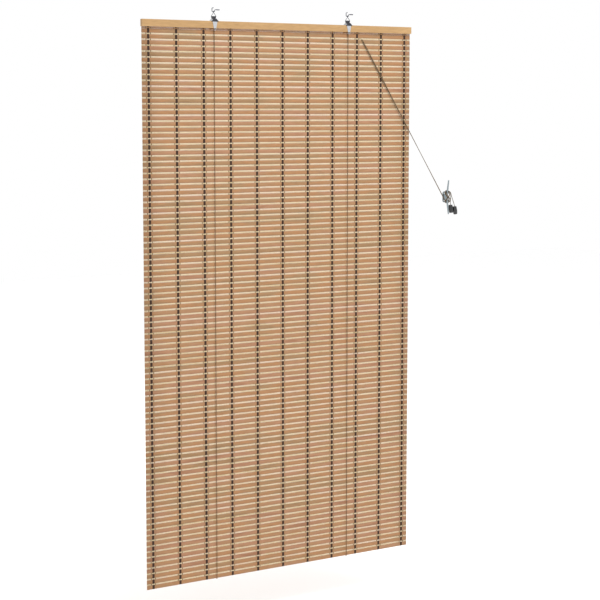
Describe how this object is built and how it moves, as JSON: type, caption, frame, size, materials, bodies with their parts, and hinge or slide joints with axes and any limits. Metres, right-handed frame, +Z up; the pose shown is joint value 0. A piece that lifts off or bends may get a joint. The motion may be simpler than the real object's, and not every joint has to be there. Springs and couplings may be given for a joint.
{
  "type": "bamboo roll-up blind",
  "caption": "Roll-up window blind of woven bamboo slats on a wood rail, with hook hangers, sheaves, lift cords, tassels and a cleat.",
  "frame": {"origin": "midpoint between the two hook seats that the bails hang from", "axes": "+Z up, +X along the head rail to the right seen from the front, +Y from the front of the blind to its back"},
  "size_m": [1.0786, 0.0347, 1.6401],
  "materials": {
    "rail_wood": "plain light wood, satin",
    "bamboo": "split bamboo, brown wide slats and cream thin strips",
    "thread_dark": "dark brown warp thread",
    "thread_light": "grey-brown warp thread",
    "cord": "braided brown cord",
    "black_metal": "black",
    "bright_steel": "zinc plated",
    "sheave_plastic": "moulded",
    "tassel_black": "black, glossy"
  },
  "bodies": {
    "root": {"hook_left": "bright_steel", "hook_right": "bright_steel", "cleat": "bright_steel", "cord_wrap": "cord", "pull_cord_left": "cord", "pull_cord_right": "cord", "tassel_left": "tassel_black", "tassel_right": "tassel_black"},
    "blind": {"bail_left": "bright_steel", "bail_right": "bright_steel", "hanger_left": "black_metal", "hanger_right": "black_metal", "front_plate_left": "bright_steel", "front_plate_right": "bright_steel", "plate_nails": "bright_steel", "sheave_axles": "bright_steel", "head_rail": "rail_wood", "back_lath": "rail_wood", "mat_top": "bamboo", "warp_threads_dark": "thread_dark", "warp_threads_light": "thread_light", "lift_cord_left": "cord", "lift_cord_right": "cord"},
    "sheave_left_body": {"sheave_left": "sheave_plastic"},
    "sheave_right_body": {"sheave_right": "sheave_plastic"},
    "section_01": {"mat_section_01": "bamboo"},
    "section_02": {"mat_section_02": "bamboo"},
    "section_03": {"mat_section_03": "bamboo"},
    "section_04": {"mat_section_04": "bamboo"},
    "section_05": {"mat_section_05": "bamboo"},
    "section_06": {"mat_section_06": "bamboo"},
    "section_07": {"mat_section_07": "bamboo"},
    "section_08": {"mat_section_08": "bamboo"},
    "section_09": {"mat_section_09": "bamboo"},
    "section_10": {"mat_section_10": "bamboo"},
    "section_11": {"mat_section_11": "bamboo"},
    "section_12": {"mat_section_12": "bamboo"},
    "section_13": {"mat_section_13": "bamboo"},
    "section_14": {"mat_section_14": "bamboo"},
    "section_15": {"mat_section_15": "bamboo"},
    "section_16": {"mat_section_16": "bamboo"},
    "section_17": {"mat_section_17": "bamboo"},
    "section_18": {"mat_section_18": "bamboo"},
    "section_19": {"mat_section_19": "bamboo"},
    "section_20": {"mat_section_20": "bamboo"},
    "section_21": {"mat_section_21": "bamboo"},
    "section_22": {"mat_section_22": "bamboo"},
    "section_23": {"mat_section_23": "bamboo"},
    "section_24": {"mat_section_24": "bamboo"},
    "section_25": {"mat_section_25": "bamboo"},
    "section_26": {"mat_section_26": "bamboo"},
    "section_27": {"mat_section_27": "bamboo"},
    "section_28": {"mat_section_28": "bamboo"},
    "section_29": {"mat_section_29": "bamboo"},
    "section_30": {"mat_section_30": "bamboo"},
    "section_31": {"mat_section_31": "bamboo"},
    "section_32": {"mat_section_32": "bamboo"},
    "section_33": {"mat_section_33": "bamboo"},
    "section_34": {"mat_section_34": "bamboo"},
    "section_35": {"mat_section_35": "bamboo"}
  },
  "joints": [
    {"name": "blind_swing", "type": "hinge", "parent": "root", "child": "blind", "pos_m": [0, 0, 0], "axis": [1, 0, 0], "range_deg": [-15, 15], "deforming": ["pull_cord_left", "pull_cord_right"]},
    {"name": "sheave_left_spin", "type": "hinge", "parent": "blind", "child": "sheave_left_body", "pos_m": [-0.225, 0.0103, -0.04], "axis": [0, 1, 0], "continuous": true},
    {"name": "sheave_right_spin", "type": "hinge", "parent": "blind", "child": "sheave_right_body", "pos_m": [0.225, 0.0103, -0.04], "axis": [0, 1, 0], "continuous": true},
    {"name": "roll_01", "type": "hinge", "parent": "blind", "child": "section_01", "pos_m": [0, 0.0005, -0.11472], "axis": [1, 0, 0], "range_deg": [0, 23.3], "deforming": ["warp_threads_dark", "warp_threads_light", "lift_cord_left", "lift_cord_right"]},
    {"name": "roll_02", "type": "hinge", "parent": "section_01", "child": "section_02", "pos_m": [0, 0.0005, -0.17852], "axis": [1, 0, 0], "range_deg": [0, 41.3]},
    {"name": "roll_03", "type": "hinge", "parent": "section_02", "child": "section_03", "pos_m": [0, 0.0005, -0.22637], "axis": [1, 0, 0], "range_deg": [0, 42.1]},
    {"name": "roll_04", "type": "hinge", "parent": "section_03", "child": "section_04", "pos_m": [0, 0.0005, -0.29017], "axis": [1, 0, 0], "range_deg": [0, 49]},
    {"name": "roll_05", "type": "hinge", "parent": "section_04", "child": "section_05", "pos_m": [0, 0.0005, -0.35397], "axis": [1, 0, 0], "range_deg": [0, 43.7]},
    {"name": "roll_06", "type": "hinge", "parent": "section_05", "child": "section_06", "pos_m": [0, 0.0005, -0.40182], "axis": [1, 0, 0], "range_deg": [0, 44.6]},
    {"name": "roll_07", "type": "hinge", "parent": "section_06", "child": "section_07", "pos_m": [0, 0.0005, -0.46562], "axis": [1, 0, 0], "range_deg": [0, 45.5]},
    {"name": "roll_08", "type": "hinge", "parent": "section_07", "child": "section_08", "pos_m": [0, 0.0005, -0.51347], "axis": [1, 0, 0], "range_deg": [0, 39.8]},
    {"name": "roll_09", "type": "hinge", "parent": "section_08", "child": "section_09", "pos_m": [0, 0.0005, -0.56132], "axis": [1, 0, 0], "range_deg": [0, 47.4]},
    {"name": "roll_10", "type": "hinge", "parent": "section_09", "child": "section_10", "pos_m": [0, 0.0005, -0.62512], "axis": [1, 0, 0], "range_deg": [0, 48.5]},
    {"name": "roll_11", "type": "hinge", "parent": "section_10", "child": "section_11", "pos_m": [0, 0.0005, -0.67297], "axis": [1, 0, 0], "range_deg": [0, 42.5]},
    {"name": "roll_12", "type": "hinge", "parent": "section_11", "child": "section_12", "pos_m": [0, 0.0005, -0.72082], "axis": [1, 0, 0], "range_deg": [0, 43.4]},
    {"name": "roll_13", "type": "hinge", "parent": "section_12", "child": "section_13", "pos_m": [0, 0.0005, -0.76867], "axis": [1, 0, 0], "range_deg": [0, 44.4]},
    {"name": "roll_14", "type": "hinge", "parent": "section_13", "child": "section_14", "pos_m": [0, 0.0005, -0.81652], "axis": [1, 0, 0], "range_deg": [0, 45.4]},
    {"name": "roll_15", "type": "hinge", "parent": "section_14", "child": "section_15", "pos_m": [0, 0.0005, -0.86437], "axis": [1, 0, 0], "range_deg": [0, 46.6]},
    {"name": "roll_16", "type": "hinge", "parent": "section_15", "child": "section_16", "pos_m": [0, 0.0005, -0.91222], "axis": [1, 0, 0], "range_deg": [0, 47.8]},
    {"name": "roll_17", "type": "hinge", "parent": "section_16", "child": "section_17", "pos_m": [0, 0.0005, -0.96007], "axis": [1, 0, 0], "range_deg": [0, 49.1]},
    {"name": "roll_18", "type": "hinge", "parent": "section_17", "child": "section_18", "pos_m": [0, 0.0005, -1.00792], "axis": [1, 0, 0], "range_deg": [0, 42]},
    {"name": "roll_19", "type": "hinge", "parent": "section_18", "child": "section_19", "pos_m": [0, 0.0005, -1.03982], "axis": [1, 0, 0], "range_deg": [0, 43.1]},
    {"name": "roll_20", "type": "hinge", "parent": "section_19", "child": "section_20", "pos_m": [0, 0.0005, -1.08767], "axis": [1, 0, 0], "range_deg": [0, 53.3]},
    {"name": "roll_21", "type": "hinge", "parent": "section_20", "child": "section_21", "pos_m": [0, 0.0005, -1.13552], "axis": [1, 0, 0], "range_deg": [0, 45.8]},
    {"name": "roll_22", "type": "hinge", "parent": "section_21", "child": "section_22", "pos_m": [0, 0.0005, -1.16742], "axis": [1, 0, 0], "range_deg": [0, 47.2]},
    {"name": "roll_23", "type": "hinge", "parent": "section_22", "child": "section_23", "pos_m": [0, 0.0005, -1.21527], "axis": [1, 0, 0], "range_deg": [0, 48.8]},
    {"name": "roll_24", "type": "hinge", "parent": "section_23", "child": "section_24", "pos_m": [0, 0.0005, -1.24717], "axis": [1, 0, 0], "range_deg": [0, 40.2]},
    {"name": "roll_25", "type": "hinge", "parent": "section_24", "child": "section_25", "pos_m": [0, 0.0005, -1.27907], "axis": [1, 0, 0], "range_deg": [0, 52]},
    {"name": "roll_26", "type": "hinge", "parent": "section_25", "child": "section_26", "pos_m": [0, 0.0005, -1.32692], "axis": [1, 0, 0], "range_deg": [0, 54.1]},
    {"name": "roll_27", "type": "hinge", "parent": "section_26", "child": "section_27", "pos_m": [0, 0.0005, -1.35882], "axis": [1, 0, 0], "range_deg": [0, 44.9]},
    {"name": "roll_28", "type": "hinge", "parent": "section_27", "child": "section_28", "pos_m": [0, 0.0005, -1.39072], "axis": [1, 0, 0], "range_deg": [0, 46.6]},
    {"name": "roll_29", "type": "hinge", "parent": "section_28", "child": "section_29", "pos_m": [0, 0.0005, -1.42262], "axis": [1, 0, 0], "range_deg": [0, 48.5]},
    {"name": "roll_30", "type": "hinge", "parent": "section_29", "child": "section_30", "pos_m": [0, 0.0005, -1.45452], "axis": [1, 0, 0], "range_deg": [0, 50.6]},
    {"name": "roll_31", "type": "hinge", "parent": "section_30", "child": "section_31", "pos_m": [0, 0.0005, -1.48642], "axis": [1, 0, 0], "range_deg": [0, 53.1]},
    {"name": "roll_32", "type": "hinge", "parent": "section_31", "child": "section_32", "pos_m": [0, 0.0005, -1.51832], "axis": [1, 0, 0], "range_deg": [0, 55.9]},
    {"name": "roll_33", "type": "hinge", "parent": "section_32", "child": "section_33", "pos_m": [0, 0.0005, -1.55022], "axis": [1, 0, 0], "range_deg": [0, 59.2]},
    {"name": "roll_34", "type": "hinge", "parent": "section_33", "child": "section_34", "pos_m": [0, 0.0005, -1.58212], "axis": [1, 0, 0], "range_deg": [0, 47]},
    {"name": "roll_35", "type": "hinge", "parent": "section_34", "child": "section_35", "pos_m": [0, 0.0005, -1.59807], "axis": [1, 0, 0], "range_deg": [0, 45.4]}
  ]
}
